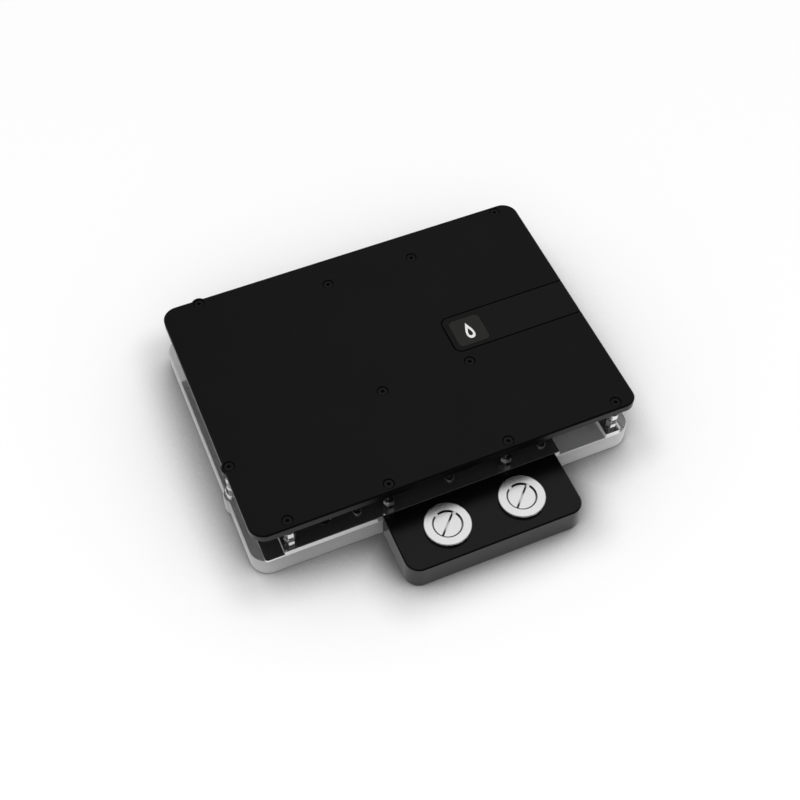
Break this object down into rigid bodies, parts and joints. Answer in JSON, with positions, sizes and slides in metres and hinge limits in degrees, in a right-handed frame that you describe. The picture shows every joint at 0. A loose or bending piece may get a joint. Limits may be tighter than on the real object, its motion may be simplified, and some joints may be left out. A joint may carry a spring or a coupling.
{
  "type": "liquid cooling cold plate",
  "caption": "Liquid cooling cold plate for a processor card: clear coolant housing, plated cold plate on hexagon posts, black backplate and a terminal block with plugged G1/4 ports.",
  "frame": {"origin": "centre of the processor contact face on the cold plate", "axes": "+X along the long side, +Y away from the terminal block, +Z out of the contact face towards the backplate"},
  "size_m": [0.1656, 0.1471, 0.03],
  "materials": {
    "black_anodised": "satin black anodised",
    "black_anodised_fine": "fine matt black anodised",
    "badge_grey": "dark grey anodised",
    "black_steel": "black oxide",
    "bright_nickel": "bright nickel plate",
    "plated_copper": "polished nickel plate on copper",
    "bright_steel": "bright stainless steel",
    "nickel_brass": "nickel plated brass",
    "clear_acrylic": "polished clear",
    "seal_rubber": "matt black",
    "sheet_steel": "brushed",
    "black_acetal": "machined matt black",
    "plug_chrome": "bright chrome plate"
  },
  "bodies": {
    "root": {"backplate": "black_anodised", "backplate_inlay": "black_anodised_fine", "badge_tile": "badge_grey", "backplate_screws": "black_steel", "upper_spacers": "bright_nickel", "lower_posts": "bright_nickel", "cold_plate": "plated_copper", "cold_plate_screws": "bright_steel", "housing_inserts": "nickel_brass", "coolant_housing": "clear_acrylic", "housing_seal": "seal_rubber", "jet_plate": "sheet_steel", "terminal_block": "black_acetal", "terminal_screws": "bright_steel", "terminal_inserts": "nickel_brass", "terminal_seal_left": "seal_rubber", "terminal_seal_right": "seal_rubber", "plug_left": "plug_chrome", "plug_right": "plug_chrome", "plug_seal_left": "seal_rubber", "plug_seal_right": "seal_rubber"}
  },
  "joints": []
}
